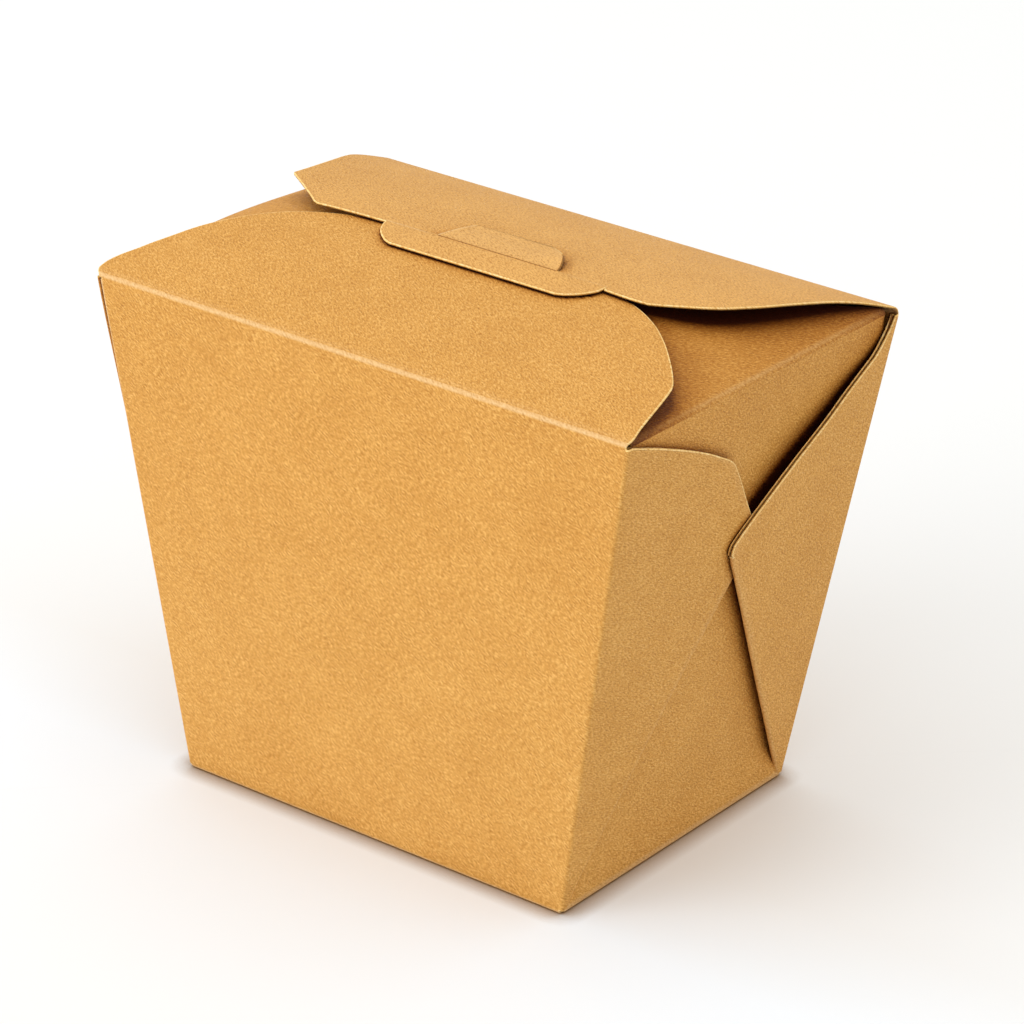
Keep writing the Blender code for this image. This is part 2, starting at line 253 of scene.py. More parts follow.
# ---------------------------------------------------------------- the wrap: lid flaps, long panels, base and webs
lid = {
    "frontRun": 41.0, "frontRise": 7.7, "frontBulge": 1.5,   # the front flap: length from its crease, rise, crown
    "backRun": 46.0, "backRise": 8.5, "backBulge": 1.9,      # the back flap
    # half outlines of the flaps: distance from the crease, x
    "frontLeft": [[(0.0, -60.5), (1.0, -61.5), (3.0, -61.8), (6.0, -60.9), (9.3, -59.2), (12.3, -57.9), (15.2, -56.5),
                   (19.4, -54.6), (22.0, -53.2), (25.3, -51.0), (28.9, -48.3), (32.3, -45.0), (35.1, -41.4),
                   (37.8, -36.4), (39.8, -30.8), (40.9, -25.7), (41.0, -24.0)]],
    "frontRight": [[(0.0, 59.7), (0.8, 59.9), (4.9, 59.3), (8.8, 58.7), (12.9, 58.0), (16.3, 57.3)],
                   [(16.3, 57.3), (17.6, 56.8), (19.2, 55.7), (24.9, 50.8), (29.7, 46.0), (34.2, 40.4),
                    (37.7, 34.1), (39.9, 28.0), (41.0, 24.0)]],
    "frontUp": 0.3, "backUp": -0.45,          # how far the front and back creases stand above the shoulder
    "backLeft": [[(0.0, -59.4), (2.5, -60.1), (4.7, -60.4), (8.4, -60.7), (12.0, -60.3), (15.5, -59.2), (21.5, -57.3),
                  (27.4, -55.9), (32.5, -55.1), (36.5, -54.8)],
                 [(36.5, -54.8), (41.3, -47.5), (44.9, -42.1), (45.8, -40.9), (46.15, -40.1)]],
    "backRight": [[(0.0, 59.9), (2.0, 59.6), (5.0, 58.6), (12.9, 57.0), (22.7, 55.0), (28.0, 53.5), (33.4, 51.5),
                   (36.5, 49.8), (40.0, 46.9), (43.0, 42.6), (44.6, 39.8), (45.5, 38.2), (46.15, 36.6)]],
    "lipLeft": [[(46.15, -24.4), (47.7, -23.95), (49.75, -22.85)],
                [(49.75, -22.85), (50.8, -21.9), (51.9, -20.6), (53.0, -18.9), (53.3, -18.0)]],
    "lipRight": [[(46.15, 26.2), (47.1, 26.2), (48.3, 26.0)],
                 [(48.3, 26.0), (49.8, 25.0), (51.1, 23.9), (52.4, 22.2), (53.0, 21.1), (53.3, 20.2)]],
    "lipHeight": [(-10.9, 7.90), (-6.0, 8.36), (-4.3, 8.48), (-3.0, 8.52)],   # y, height above the shoulder
    "lipEnd": -10.45,
    "lipLift": 0.36,                                                          # the tongue lifts the lip at the slit
    "freeLeft": [(-42.0, -4.6), (-39.3, -4.3), (-34.0, -3.75), (-29.3, -3.45), (-24.4, -3.3)],   # x, y of the free side
    "freeRight": [(26.2, -4.2), (33.0, -4.7), (38.0, -4.55)],
    "slit": (-12.6, 15.6), "slitRows": (-2.75, -3.30),                        # x of its ends, y of its sides
}

web = {
    # side-plane outlines: height up the slope, y of the edge
    "frontOutline": [[(0.4, -34.4), (4.7, -32.6), (13.4, -27.3), (30.8, -16.6), (47.7, -5.6), (57.0, 0.9), (63.0, 5.5)],
                     [(63.0, 5.5), (64.2, 6.3), (65.3, 6.6), (66.6, 6.2)],
                     [(66.6, 6.2), (70.5, 3.5), (75.8, 0.0), (80.5, -3.0), (83.6, -5.2)],
                     [(83.6, -5.2), (84.9, -6.2), (86.2, -7.9), (88.0, -11.2), (90.3, -15.6), (92.2, -19.8), (94.1, -24.3),
                      (96.0, -29.1), (97.4, -32.7), (99.1, -37.6), (100.4, -41.4)]],
    "backOutline": [[(0.4, 34.0), (3.9, 32.2), (11.9, 27.7), (26.5, 19.2), (40.7, 11.0), (52.8, 4.1), (61.4, -1.0)],
                    [(61.4, -1.0), (63.4, -2.1), (65.4, -2.9), (66.9, -2.5)],
                    [(66.9, -2.5), (68.5, -0.5), (73.2, 6.5), (78.3, 14.6), (84.1, 24.4), (87.8, 29.7), (90.5, 34.0),
                     (92.6, 37.3), (94.1, 38.6), (96.6, 40.2), (98.3, 41.0), (100.4, 41.6)]],
    "frontTip": 65.0, "backTip": 64.4,       # height up the slope where the fold ends and the cut edge starts
    "backLift": 1.9,                         # degrees by which a rear web stands off the side
    "splay": 0.35,                           # how far the two layers of a web part at the cut edge
}


corner = {
    # across the left front corner where it has opened: distance inside the side plane, inside the long panel
    "openedPath": [(0.50, 0.0), (0.30, 0.0), (0.22, 0.06), (0.17, 0.34), (0.10, 0.72), (-0.08, 0.78), (-0.30, 0.52),
                   (-0.85, 0.42), (-1.2, 0.7)],
    "openedHeights": (64.0, 99.0),
    "grooveShade": (0.0, 0.1, 0.8, 1.0, 1.0, 0.75, 0.2),    # how much painted shade each point of that path gets after the first
    "bulge": 1.2,                             # how far the web beside it stands out
}


def flapRows(run, rise, bulge, first, last, count, sign):
    # (y, z) down the middle of a flap: y = +-(shoulder half width - t), z = shoulder + arch(t)
    t = np.linspace(first, last, count)
    return np.stack([sign * (box["shoulderHalf"][1] - t), box["shoulder"] + arch(run, rise, bulge, t)], axis=1)


def wrapRows():
    # the middle line of the whole sheet from the front flap's free end, round under the base, to the lip
    y1, z1 = box["shoulderHalf"][1], box["shoulder"]
    lean = (box["shoulderHalf"][1] - box["footHalf"][1]) / box["shoulder"]
    slopeF = float(arch(lid["frontRun"], lid["frontRise"], lid["frontBulge"], 1.0))
    slopeB = float(arch(lid["backRun"], lid["backRise"], lid["backBulge"], 1.0))
    crease, foot = box["creaseRadius"], box["footRadius"]
    frontBend = bend((-y1, z1), (-1.0, -slopeF), (lean, -1.0), crease, 9)
    backBend = bend((y1, z1), (lean, 1.0), (-1.0, slopeB), box["backCreaseRadius"], 9)
    frontFoot = bend((-box["footHalf"][1], 0.0), (lean, -1.0), (1.0, 0.0), foot, 6)
    backFoot = bend((box["footHalf"][1], 0.0), (1.0, 0.0), (lean, 1.0), foot, 6)
    low = frontFoot[0][1]
    panels = []
    for top in (frontBend[-1][1], backBend[0][1]):
        levels = steps((low, 54.0, 22), (54.0, 60.0, 5), (60.0, 68.0, 16), (68.0, 80.0, 10), (80.0, 88.0, 12), (88.0, top, 10))
        panels.append(np.stack([halfWidth(levels), levels], axis=1))
    base = np.linspace(frontFoot[-1], backFoot[0], 17)
    start = y1 + frontBend[0][0]
    front = np.concatenate([flapRows(lid["frontRun"], lid["frontRise"], lid["frontBulge"], lid["frontRun"], 30.0, 34, -1)[:-1],
                            flapRows(lid["frontRun"], lid["frontRise"], lid["frontBulge"], 30.0, 2.4, 22, -1)[:-1],
                            flapRows(lid["frontRun"], lid["frontRise"], lid["frontBulge"], 2.4, start, 7, -1)])
    start = y1 - backBend[-1][0]
    slit = [y1 - y for y in lid["slitRows"]]
    back = np.concatenate([flapRows(lid["backRun"], lid["backRise"], lid["backBulge"], start, 33.0, 26, 1)[:-1],
                           flapRows(lid["backRun"], lid["backRise"], lid["backBulge"], 33.0, slit[0], 28, 1)])
    lipY = np.concatenate([np.linspace(lid["slitRows"][0], lid["slitRows"][1], 3)[1:],
                           np.linspace(lid["slitRows"][1], lid["lipEnd"], 15)[1:]])
    lip = np.stack([lipY, box["shoulder"] + curveThrough(lid["lipHeight"], lipY)], axis=1)
    parts = [front, frontBend, panels[0][::-1] * (-1, 1), frontFoot, base, backFoot, panels[1], backBend, back, lip[:2], lip[2:]]
    names = ["front", "frontBend", "frontPanel", "frontFoot", "base", "backFoot", "backPanel", "backBend", "back",
             "slit", "lip"]
    points, kinds = [parts[0]], [np.full(len(parts[0]) - 1, 0)]
    for k, part in enumerate(parts[1:], 1):
        fresh = part if k >= 9 else part[1:]
        points.append(fresh)
        kinds.append(np.full(len(fresh), k))
    return np.concatenate(points), np.concatenate(kinds), {n: k for k, n in enumerate(names)}


def rowEnds(rowPoints, kinds, part):
    # x of the two ends of each row's middle stretch, which is a flap or a long panel
    y, z = rowPoints.T
    rowKind = np.append(kinds, kinds[-1])
    onPanel = halfLength(z) - box["cornerRadius"]
    left, right = -onPanel, onPanel.copy()
    y1 = box["shoulderHalf"][1]
    isFront = rowKind <= part["frontBend"]
    t = np.maximum(y + y1, 0.0)
    left = np.where(isFront, outlineAt(lid["frontLeft"], t), left)
    right = np.where(isFront, outlineAt(lid["frontRight"], t), right)
    isBack = rowKind >= part["backBend"]
    t = np.maximum(y1 - y, 0.0)
    left = np.where(isBack, outlineAt(lid["backLeft"], t), left)
    right = np.where(isBack, outlineAt(lid["backRight"], t), right)
    return left, right


def middleColumns(rowPoints, kinds, part, left, right):
    # x and y of the middle stretch: columns keep to fixed x at the slit and at the lip's ends
    keys = np.array([lid["lipLeft"][0][0][1], lid["slit"][0], lid["slit"][1], lid["lipRight"][0][0][1]])
    counts = (22, 10, 34, 10, 22)
    narrow = np.minimum(1.0, 0.86 * np.minimum(-left, right) / keys[-1])
    stops = np.concatenate([left[:, None], keys * narrow[:, None], right[:, None]], axis=1)
    pieces = [stops[:, k, None] + (stops[:, k + 1] - stops[:, k])[:, None] * np.linspace(0, 1, n + 1)[None, :]
              for k, n in enumerate(counts)]
    x = np.concatenate([pieces[0]] + [piece[:, 1:] for piece in pieces[1:]], axis=1)
    y = rowPoints[:, 0][:, None] + np.zeros_like(x)
    # the lip is rounded at its ends, so its columns close up inside those two
    lipRows = np.append(kinds[0], kinds) >= part["lip"]
    t = box["shoulderHalf"][1] - rowPoints[:, 0]
    lipLeft, lipRight = outlineAt(lid["lipLeft"], t), outlineAt(lid["lipRight"], t)
    a, b = counts[0], len(x[0]) - 1 - counts[-1]
    share = (x - keys[0]) / (keys[-1] - keys[0])
    inLip = lipLeft[:, None] + (lipRight - lipLeft)[:, None] * share
    columns = np.arange(x.shape[1])
    within = (columns >= a) & (columns <= b)
    x = np.where(lipRows[:, None] & within[None, :], inLip, x)
    # beside the lip, the flap's free side runs a little further forward
    backRows = (np.append(kinds, kinds[-1]) >= part["back"]) & ~lipRows
    onRoot = np.append(kinds, kinds[-1]) >= part["lip"]
    x = np.where((onRoot & ~lipRows)[:, None] & within[None, :], inLip, x)
    further = np.where(x < 0, curveThrough(lid["freeLeft"], x), curveThrough(lid["freeRight"], x)) - lid["slitRows"][1]
    tip = box["shoulderHalf"][1] - lid["backLeft"][0][-1][0]
    near = np.clip((tip - y) / (tip - lid["slitRows"][1]), 0.0, 1.0)
    y = y + np.where(backRows[:, None] & ~within[None, :], further * near, 0.0)
    return x, y, counts, (a, b)


def webSide(z, outline, tip, way, lift, bulge, top):
    # One web in each row, from the end of the corner fold: out along the side plane, round the tight fold, and
    # back inside. q is the distance from the corner fold, so y = way (half width - radius - q).
    radius, roll = box["cornerRadius"], box["rollRadius"]
    slope = math.hypot(1.0, (box["shoulderHalf"][0] - box["footHalf"][0]) / box["shoulder"])
    up = z * slope
    edge = halfWidth(z) - radius - way * outlineAt(outline, up)
    edge = np.maximum(edge, 0.5)
    folded = up <= tip
    tight = np.where(folded, np.minimum(roll, 0.4 * edge), roll)[:, None]
    end = (edge - np.where(folded, tight[:, 0], 0.0))[:, None]

    def out(q):
        return math.tan(math.radians(lift)) * q * smooth(q, 0.0, 5.0) + bulge(up[:, None], q)

    share = np.linspace(0, 1, 17)[None, :]
    q = end * share
    outer = np.stack([halfLength(z)[:, None] + out(q), halfWidth(z)[:, None] - radius - q], axis=2)
    turn = np.linspace(0, math.pi, 8)[None, :]
    round_ = np.stack([halfLength(z)[:, None] + out(end) - tight + tight * np.cos(turn),
                       halfWidth(z)[:, None] - radius - end - tight * np.sin(turn)], axis=2)
    back = end * (1 - np.linspace(0, 0.92, 8))[None, :]
    apart = web["splay"] * smooth(up, tip + 1.0, tip + 14.0)[:, None] * smooth(back / np.maximum(end, 1e-6), 0.55, 1.0)
    inner = np.stack([halfLength(z)[:, None] + out(back) - 2 * tight - apart,
                      halfWidth(z)[:, None] - radius - back], axis=2)
    return outer, round_, inner, folded


def noBulge(up, q):
    return 0.0 * up * q


def leftBulge(up, q):
    # the left front web stands out beside its opened corner, and lies down again along its width
    return corner["bulge"] * smooth(up, *corner["openedHeights"]) * (1 - smooth(q, 14.0, 34.0))


def buildWrap(materials):
    rowPoints, kinds, part = wrapRows()
    left, right = rowEnds(rowPoints, kinds, part)
    x, y, counts, (lipA, lipB) = middleColumns(rowPoints, kinds, part, left, right)
    middleZ = rowPoints[:, 1][:, None] + np.zeros_like(x)
    # heights follow the slanted free side too; the lip has its own
    after, before = np.append(kinds, kinds[-1]), np.append(kinds[0], kinds)
    columns = np.arange(x.shape[1])
    inLipColumns = ((columns >= lipA) & (columns <= lipB))[None, :]
    onBack = ((after == part["back"]) | (after == part["slit"]) | (before == part["slit"]))[:, None]
    t = box["shoulderHalf"][1] - y
    onArch = box["shoulder"] + arch(lid["backRun"], lid["backRise"], lid["backBulge"], t)
    middleZ = np.where(onBack & (t > 30.0), onArch, middleZ)
    # the tongue comes up under the lip's root and lifts it, less towards its ends and its free side
    overSlit = smooth(x, lid["slit"][0] - 5.0, lid["slit"][0] + 1.0) * (1 - smooth(x, lid["slit"][1] - 1.0, lid["slit"][1] + 6.0))
    isLip = ((after >= part["lip"]) | (before >= part["lip"]))[:, None] & inLipColumns
    middleZ = middleZ + np.where(isLip, lid["lipLift"] * overSlit * smooth(y, lid["lipEnd"], lid["slitRows"][1] - 0.5), 0.0)
    # the long creases stand a little above or below the shoulder
    z = rowPoints[:, 1]
    isFrontRow, isBackRow = after <= part["frontPanel"], after >= part["backPanel"]
    fromCrease = box["shoulderHalf"][1] - np.abs(rowPoints[:, 0])
    onLid = (after <= part["front"]) | (after >= part["back"])
    near = np.where(onLid, 1 - smooth(fromCrease, 0.0, 18.0), smooth(z, 92.0, 98.5))
    raised = near * (isFrontRow * lid["frontUp"] + isBackRow * lid["backUp"])
    middleZ = middleZ + raised[:, None]
    # long panels bow out by a hair
    way = np.sign(rowPoints[:, 0])
    bow = 0.45 * np.sin(np.pi * np.clip(z / box["shoulder"], 0, 1)) ** 1.2
    onPanel = np.isin(np.append(kinds, kinds[-1]), [part["frontPanel"], part["backPanel"]])
    across = np.cos(0.5 * np.pi * np.clip(x / halfLength(z)[:, None], -1, 1)) ** 0.8
    y = y + np.where(onPanel[:, None], way[:, None] * bow[:, None] * across, 0.0)
    middle = np.stack([x, y, middleZ], axis=2)

    # corner folds and webs: worked out for every row, shown only where there are some
    level = np.clip(z, 0.05, box["shoulder"] - 0.05)
    isBack = rowPoints[:, 0] > 0
    radius = box["cornerRadius"]
    inset = np.abs(halfWidth(level)) - np.abs(rowPoints[:, 0])
    turn = np.linspace(0, 0.5 * math.pi, 9)[None, :]
    fold = np.stack([halfLength(level)[:, None] - radius + radius * np.sin(turn),
                     halfWidth(level)[:, None] - radius + radius * np.cos(turn)], axis=2)
    # high on the left front corner the fold has opened: the panel's side shows, then a groove, then the web's shoulder
    opened = np.array(corner["openedPath"])
    wanted = np.stack([halfLength(level)[:, None] - opened[:, 0], halfWidth(level)[:, None] - opened[:, 1]], axis=2)
    amount = (smooth(level, *corner["openedHeights"]) * ~isBack)[:, None, None]
    openedFold = fold * (1 - amount) + wanted * amount
    groups = {}
    for side in ("left", "right"):
        front = webSide(level, web["frontOutline"], web["frontTip"], -1, 0.0, leftBulge if side == "left" else noBulge, 99.0)
        back = webSide(level, web["backOutline"], web["backTip"], 1, web["backLift"], noBulge, 99.0)
        mixed = [np.where(isBack[:, None, None], b, f) for f, b in zip(front[:3], back[:3])]
        groups[side] = mixed + [np.where(isBack, back[3], front[3])]

    def place(flatPart, sign):
        # (x, |y|) of a side path to points: the sign of x is the side, the sign of y the panel
        height = (level + 0.5 * raised * isBack)[:, None] + np.zeros(flatPart.shape[:2])
        return np.stack([sign * flatPart[..., 0], way[:, None] * flatPart[..., 1], height], axis=2)

    rightParts = [place(fold, 1)[:, 1:], place(groups["right"][0], 1)[:, 1:], place(groups["right"][1], 1)[:, 1:],
                  place(groups["right"][2], 1)[:, 1:]]
    leftParts = [place(openedFold, -1)[:, 1:], place(groups["left"][0], -1)[:, 1:], place(groups["left"][1], -1)[:, 1:],
                 place(groups["left"][2], -1)[:, 1:]]
    points = np.concatenate([p[:, ::-1] for p in leftParts[::-1]] + [middle] + rightParts, axis=1)
    sizes = [p.shape[1] for p in leftParts]
    # column kinds, one for each gap between columns: 0 middle, 1 fold, 2 web, 3 tight fold, 4 inner layer
    side = np.concatenate([np.full(n, k) for k, n in enumerate(sizes, 1)])
    gaps = np.concatenate([side[::-1], np.zeros(middle.shape[1] - 1, int), side])
    shownRows = kinds[:, None]
    isPanel = np.isin(shownRows, [part["frontPanel"], part["backPanel"]])
    shown = np.where(gaps[None, :] == 0, True, isPanel)
    foldedGap = np.where(isBack[:-1], groups["right"][3][:-1] & groups["right"][3][1:], groups["right"][3][:-1] & groups["right"][3][1:])
    shown = shown & ~((gaps[None, :] == 3) & ~foldedGap[:, None])
    first = sum(sizes)
    column = np.arange(len(gaps)) - first
    inLip = (column >= lipA) & (column < lipB)
    shown = shown & ~((shownRows == part["lip"]) & ~inLip[None, :])
    slitA, slitB = counts[0] + counts[1], counts[0] + counts[1] + counts[2]
    inSlit = (column >= slitA) & (column < slitB)
    shown = shown & ~((shownRows == part["slit"]) & inSlit[None, :])
    crease = wrapCrease(points, rowPoints[:, 0], kinds, part, gaps)
    # the lip's own fold runs on from both ends of the slit, as a pale line of wear that is partly a painted highlight
    onFold = ((after == part["slit"]) & (before == part["slit"]))[:, None] & inLipColumns
    besideSlit = np.where(x < lid["slit"][0], 0.9, 0.4) * ((x < lid["slit"][0]) | (x > lid["slit"][1]))
    crease[:, first:first + middle.shape[1]] = np.maximum(crease[:, first:first + middle.shape[1]], onFold * besideSlit)
    # painted shade: beside the tongue, on the front flap under the back flap and its lip, a dark line along the slit,
    # and a little towards the top of the front panel
    shade = np.zeros(points.shape[:2])
    isFlap = (after == part["front"])[:, None]
    alongSlit = ((before == part["slit"]) & (after == part["lip"]))[:, None] & (x > lid["slit"][0]) & (x < lid["slit"][1])
    high = (after == part["frontPanel"]) * 0.045 * smooth(z, 25.0, 95.0)
    shade[:, first:first + middle.shape[1]] = (tongueShade(x, y) * (onBack & (t > 30.0)) + lidShade(x, y) * isFlap
                                               + 0.75 * alongSlit + high[:, None])
    # painted shade in the groove of the opened corner, most at its top
    depthOfPath = np.array(corner["grooveShade"])
    for k, dark in enumerate(depthOfPath):
        shade[:, first - 1 - k] = 1.2 * dark * amount[:, 0, 0]
    # painted highlight: the edge of the front panel gets the pale colour of wear where the corner has opened
    for k in (1, 2):
        crease[:, first - k] = np.maximum(crease[:, first - k], 1.2 * amount[:, 0, 0])
    # painted sheen: the back flap and its lip are painted a little paler than the rest
    pale = np.zeros(points.shape[:2]) + (after >= part["backBend"])[:, None] * 0.5
    marks = {"crease": crease, "shade": shade, "pale": pale}
    return makeBoard("boxBoard", points, shown, marks, materials, middle=first + middle.shape[1] // 2)


def lidShade(x, y):
    # on the front flap under the back flap and its lip: dark up to their free side, whose y at each x is read here
    left, right = np.array(sum(lid["lipLeft"], [])), np.array(sum(lid["lipRight"], []))[::-1]
    atX = np.concatenate([[p[0] for p in lid["freeLeft"]], left[:, 1], right[:, 1], [p[0] for p in lid["freeRight"]]])
    atY = np.concatenate([[p[1] for p in lid["freeLeft"]], box["shoulderHalf"][1] - left[:, 0],
                          box["shoulderHalf"][1] - right[:, 0], [p[1] for p in lid["freeRight"]]])
    order = np.argsort(atX, kind="stable")
    under = y - np.interp(x, atX[order], atY[order])
    return 0.97 * smooth(under, -0.30, 0.30) + 0.18 * np.exp(-np.maximum(-under, 0.0) / 1.3) * (under < 0.3)


def wrapCrease(points, rowY, kinds, part, gaps):
    # how pale a fold is painted, part wear and part painted highlight: most on the front crease, less at the back and
    # the foot, a little on the tight folds
    rowKind = np.append(kinds, kinds[-1])
    before = np.append(kinds[0], kinds)
    down = np.zeros(len(points))
    for name, wearAndHighlight in (("frontBend", 1.0), ("backBend", 0.5), ("frontFoot", 0.8), ("backFoot", 0.8)):
        inside = np.flatnonzero((rowKind == part[name]) & (before == part[name]))
        share = np.linspace(0.0, 1.0, len(inside))
        down[inside] = wearAndHighlight * (np.interp(share, (0.0, 0.3, 0.7, 1.0), (0.55, 0.8, 1.0, 0.3)) if name == "frontBend" else 1.0)
    fromCrease = box["shoulderHalf"][1] + rowY
    down = np.maximum(down, np.where(rowKind == part["front"], 0.45 * np.exp(-np.maximum(fromCrease - 0.6, 0.0) / 0.5), 0.0))
    across = np.zeros(points.shape[1])
    across[:-1] += 0.15 * (gaps == 3)
    across[1:] += 0.15 * (gaps == 3)
    return 1 - (1 - down[:, None]) * (1 - across[None, :])


# ---------------------------------------------------------------- side panels with their short flaps
side = {
    "frontDepth": 1.3, "backDepth": 3.3,      # how far the panel lies inside the side plane, by the front and rear webs
    "lowDepth": 2.3,                          # the same by the rear web's lower, folded side
    "topDepth": 1.15,                         # the same at the ridge
    "footFade": 11.0, "topFade": 24.0,        # heights over which the depth grows and goes
    "ridgeRadius": 1.5,
    # plan of the short flap: x, y of its front side and of its rear side
    "flapFront": [(30.0, -8.0), (36.0, -11.0), (42.0, -15.5), (50.0, -24.0), (57.0, -35.0), (59.0, -40.2), (60.5, -41.2)],
    "flapBack": [(30.0, 12.0), (46.0, 21.5), (55.0, 32.0), (57.6, 37.4), (58.6, 39.8), (60.5, 41.1)],
    # x and height above the shoulder of the short flap, which rises under the long ones
    "flapRise": [(30.0, 6.6), (33.0, 6.2), (36.0, 5.65), (42.0, 4.6), (49.0, 3.4), (55.0, 1.75), (58.2, 0.55)],
    # the left ridge bows: how far out and up, and where along it
    "bowOut": 1.75, "bowUp": 1.1, "bowAt": -6.0, "bowReach": 28.0,
}


def panelDepth(y, z):
    # depth of a side panel inside the side plane: front to back, times what foot and top leave of it
    back = side["lowDepth"] + (side["backDepth"] - side["lowDepth"]) * smooth(z, 40.0, 75.0)
    base = side["frontDepth"] + (back - side["frontDepth"]) * smooth(y + 0.35 * (z - 60.0), -16.0, 22.0)
    foot = smooth(z, 0.0, side["footFade"])
    top = smooth(box["shoulder"] - z, 0.0, side["topFade"]) ** 0.8
    return foot * (side["topDepth"] + (base - side["topDepth"]) * top)


def webEdge(z, outline):
    # y of a web's edge at height z
    slope = math.hypot(1.0, (box["shoulderHalf"][0] - box["footHalf"][0]) / box["shoulder"])
    return outlineAt(outline, np.asarray(z, float) * slope)


def panelShade(y, z):
    # shade beside the webs, which starts deep under them: two exponentials of the distance from there
    depth = panelDepth(y, z)
    rear = webEdge(z, web["backOutline"]) - y + 1.3 * depth
    front = y - webEdge(z, web["frontOutline"])
    upper = smooth(z, 60.0, 70.0)
    rear, front = np.maximum(rear, 0.0), np.maximum(front, 0.0)
    byRear = 0.72 * np.exp(-rear / (0.9 + 0.7 * upper)) + 0.40 * np.exp(-rear / (3.5 + 3.0 * upper))
    byFront = np.exp(-front / (0.6 + 1.2 * smooth(z, 84.0, 94.0))) * 0.4
    return np.clip(np.maximum(byRear, byFront) * smooth(z, 0.0, 12.0) + 0.09 * smooth(z, 76.0, 98.0), 0.0, 1.0)


def flapShade(x, y, height):
    # the same on a short flap, under the sides of the long flaps above it
    t = box["shoulderHalf"][1] - y
    gap = arch(lid["backRun"], lid["backRise"], lid["backBulge"], np.clip(t, 0.0, 46.0)) - (height - box["shoulder"])
    rear = x - outlineAt(lid["backRight"], np.clip(t, 0.0, 46.0)) + 0.95 * np.maximum(gap, 0.0)
    front = x - outlineAt(lid["frontRight"], np.clip(y + box["shoulderHalf"][1], 0.0, 41.0))
    rear, front = np.maximum(rear, 0.0), np.maximum(front, 0.0)
    byRear = (0.58 * np.exp(-rear / 2.8) + 0.42 * np.exp(-rear / 8.5)) * np.where(t < 47.5, 1.0, np.exp(-(t - 47.5) / 3.5))
    byFront = (0.35 * np.exp(-front / 1.2) + 0.33 * np.exp(-front / 7.0)) * (1 - smooth(y, -2.0, 4.0))
    return np.clip(1 - (1 - byRear) * (1 - byFront) + 0.15, 0.0, 1.0)


def buildSide(name, sign, materials):
    lean = (box["shoulderHalf"][0] - box["footHalf"][0]) / box["shoulder"]
    ridgeX = box["shoulderHalf"][0] - side["topDepth"]
    rise = side["flapRise"]
    toFlap = np.array([rise[-2][0] - ridgeX, rise[-2][1] + 0.1])
    ridge = bend((ridgeX, box["shoulder"] - 0.1), (lean, 1.0), toFlap, side["ridgeRadius"], 9)
    foot = bend((box["footHalf"][0], 0.0), (1.0, 0.0), (lean, 1.0), box["footRadius"], 6)
    strip = np.stack([np.linspace(43.0, foot[0][0], 3), np.zeros(3)], axis=1)
    level = steps((foot[-1][1], 16.0, 12), (16.0, 84.0, 66), (84.0, ridge[0][1], 26))
    panel = np.stack([halfLength(level), level], axis=1)
    flapX = np.linspace(ridge[-1][0], rise[0][0], 56)[1:]
    knots = [(x, box["shoulder"] + h) for x, h in rise[:-1]] + [tuple(ridge[-1])]
    flap = np.stack([flapX, curveThrough(knots, flapX)], axis=1)
    rows = np.concatenate([strip, foot[1:], panel[1:], ridge[1:], flap])
    kind = np.concatenate([np.zeros(len(strip)), np.ones(len(foot) - 1), np.full(len(panel) - 1, 2),
                           np.full(len(ridge) - 1, 3), np.full(len(flap), 4)])
    x, z = rows.T
    inside = halfWidth(np.clip(z, 0, 100)) - 1.5 + 0.35 * (1 - smooth(z, 1.0, 5.0))
    onFlap = kind >= 3
    frontY = np.where(onFlap, curveThrough(side["flapFront"], np.minimum(x, 60.5)), -inside)
    backY = np.where(onFlap, curveThrough(side["flapBack"], np.minimum(x, 60.5)), inside)
    nearTop = smooth(z, 88.0, 98.0) * (kind == 2)
    backY = backY * (1 - nearTop) + nearTop * np.minimum(backY, 40.9)
    share = steps((0.0, 0.04, 3), (0.04, 0.96, 100), (0.96, 1.0, 3))[None, :]
    y = frontY[:, None] + (backY - frontY)[:, None] * share
    depth = panelDepth(y, z[:, None]) * (kind == 2)[:, None]
    height = z[:, None] + np.zeros_like(y)
    far = x[:, None] - depth
    # the ridge turns down and in at its rear end
    rounded = smooth(y, 38.4, 41.1) * smooth(z[:, None], 92.0, 99.0) * (kind >= 2)[:, None]
    far = far - 1.2 * rounded ** 2
    height = height - 0.5 * rounded ** 2
    shade = np.where((kind >= 3)[:, None], flapShade(x[:, None], y, z[:, None]), panelShade(y, z[:, None]))
    if sign < 0:
        along = np.exp(-((y - side["bowAt"]) / side["bowReach"]) ** 2) * smooth(z, 86.0, 100.0)[:, None]
        keep = np.where(onFlap, smooth(x, 46.0, 60.0), 1.0)[:, None]
        far = far + side["bowOut"] * along * keep
        # the left one stands wider open, and more light gets in under the long flaps
        shade = np.where(onFlap[:, None], 0.4 * shade, shade)
        height = height + side["bowUp"] * along * np.where(onFlap, smooth(x, 33.0, 46.0), 1.0)[:, None]
    points = np.stack([sign * far, y, height], axis=2)
    # the foot gets the pale colour of wear, and the middle of the ridge a little: part wear and part painted highlight
    ridgeRows = np.flatnonzero(kind == 3)
    ridgeWearAndHighlight = 0.5 * np.exp(-((np.arange(len(kind)) - ridgeRows.mean()) / 1.9) ** 2)
    crease = np.maximum(0.8 * (kind == 1), ridgeWearAndHighlight)[:, None] + np.zeros_like(y)
    if sign > 0:
        points, shade, crease = points[:, ::-1], shade[:, ::-1], crease[:, ::-1]
    shown = np.ones((points.shape[0] - 1, points.shape[1] - 1), bool)
    marks = {"crease": crease, "shade": shade, "pale": np.zeros(y.shape)}
    return makeBoard(name, points, shown, marks, materials, middle=points.shape[1] // 2)


